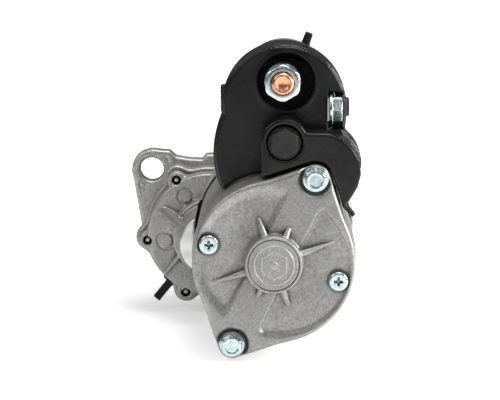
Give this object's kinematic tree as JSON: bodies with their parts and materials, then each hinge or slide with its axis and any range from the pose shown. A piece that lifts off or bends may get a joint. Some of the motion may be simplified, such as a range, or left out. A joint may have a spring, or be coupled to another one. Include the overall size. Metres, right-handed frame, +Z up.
{
  "type": "starter motor",
  "caption": "Offset-geared starter motor with a solenoid above it, a shift lever, a sliding overrunning clutch and a pinion in an enclosed nose.",
  "frame": {"origin": "on the mounting flange's front face at the root of its lower right ear, 29 mm right of and 29 mm below the drive shaft's axis", "axes": "+Y along the drive shaft towards the pinion's nose, +Z up as the motor stands with the solenoid above, +X to the right seen from the rear cap"},
  "size_m": [0.1338, 0.28, 0.175],
  "materials": {
    "cast_aluminium": "as-cast, fine bead-blasted grain",
    "zinc_steel": "bright zinc plate, faint blue",
    "yoke_steel": "silver-grey coated steel tube",
    "machined_steel": "turned and ground steel",
    "copper": "bare copper",
    "bronze": "sintered bronze",
    "carbon": "copper-graphite brush",
    "black_paint": "satin black",
    "black_plastic": "moulded, satin",
    "bakelite": "moulded phenolic",
    "rubber": "matt black",
    "enamelled_wire": "varnished copper wire",
    "lamination": "stacked steel sheet"
  },
  "bodies": {
    "housing": {"rear_cap": "cast_aluminium", "rear_bush": "bronze", "rear_seal": "rubber", "yoke": "yoke_steel", "front_seal": "rubber", "lead_grommet": "rubber", "pole_shoe_1": "machined_steel", "pole_shoe_2": "machined_steel", "pole_shoe_3": "machined_steel", "pole_shoe_4": "machined_steel", "field_coils": "copper", "brush_holder": "bakelite", "brush_1": "carbon", "brush_2": "carbon", "brush_3": "carbon", "brush_4": "carbon", "through_bolt_1": "zinc_steel", "through_bolt_2": "zinc_steel", "brush_screw_1": "zinc_steel", "brush_screw_2": "zinc_steel", "armature_bearing": "machined_steel", "gear_cover": "cast_aluminium", "cover_screw_1": "zinc_steel", "cover_screw_2": "zinc_steel", "cover_screw_3": "zinc_steel", "drive_housing": "cast_aluminium", "drain_tube": "rubber", "nose_bush": "bronze", "drive_shaft_bush": "bronze", "lever_pivot_pin": "machined_steel", "solenoid_case": "black_paint", "solenoid_coil": "enamelled_wire", "solenoid_core": "machined_steel", "solenoid_screw_1": "zinc_steel", "solenoid_screw_2": "zinc_steel", "contact_lid": "bakelite", "battery_terminal": "copper", "battery_washer": "zinc_steel", "battery_nut": "zinc_steel", "motor_terminal": "copper", "motor_terminal_nut": "black_paint", "ignition_terminal": "zinc_steel", "ignition_screw": "zinc_steel", "plunger_spring": "machined_steel", "terminal_hood": "black_plastic", "lead_hood": "black_plastic", "motor_lead": "copper"},
    "armature": {"armature_shaft": "machined_steel", "armature_core": "lamination", "armature_winding": "enamelled_wire", "commutator": "copper"},
    "drive_shaft": {"drive_shaft": "machined_steel", "drive_gear": "machined_steel", "stop_ring": "machined_steel"},
    "clutch": {"clutch_housing": "machined_steel", "guide_ring": "black_plastic"},
    "pinion": {"drive_pinion": "machined_steel"},
    "shift_lever": {"shift_lever": "black_plastic"},
    "plunger": {"plunger": "machined_steel"},
    "contact": {"contact_plate": "copper"}
  },
  "joints": [
    {"name": "armature_spin", "type": "hinge", "parent": "housing", "child": "armature", "pos_m": [0.00835, -0.09, 0.03599], "axis": [0, 1, 0], "continuous": true},
    {"name": "drive_spin", "type": "hinge", "parent": "housing", "child": "drive_shaft", "pos_m": [-0.029, 0, 0.029], "axis": [0, 1, 0], "continuous": true},
    {"name": "clutch_slide", "type": "slide", "parent": "drive_shaft", "child": "clutch", "axis": [0, 1, 0], "range_m": [0, 0.01392]},
    {"name": "pinion_overrun", "type": "hinge", "parent": "clutch", "child": "pinion", "pos_m": [-0.029, 0.03, 0.029], "axis": [0, 1, 0], "continuous": true},
    {"name": "lever_swing", "type": "hinge", "parent": "housing", "child": "shift_lever", "pos_m": [-0.00708, -0.00154, 0.07394], "axis": [0.8988, 0, -0.4384], "range_deg": [0, 16.01]},
    {"name": "plunger_slide", "type": "slide", "parent": "housing", "child": "plunger", "axis": [0, -1, 0], "range_m": [0, 0.01308], "deforming": ["plunger_spring"]},
    {"name": "contact_slide", "type": "slide", "parent": "housing", "child": "contact", "axis": [0, -1, 0], "range_m": [0, 0.0037]}
  ],
  "couplings": [
    {"joint": "drive_spin", "follows": "armature_spin", "ratio": -0.31034},
    {"joint": "clutch_slide", "follows": "plunger_slide", "ratio": 1.0638},
    {"joint": "lever_swing", "follows": "plunger_slide", "rad_per_m": 21.35},
    {"joint": "contact_slide", "follows": "plunger_slide", "ratio": 0.2825}
  ]
}
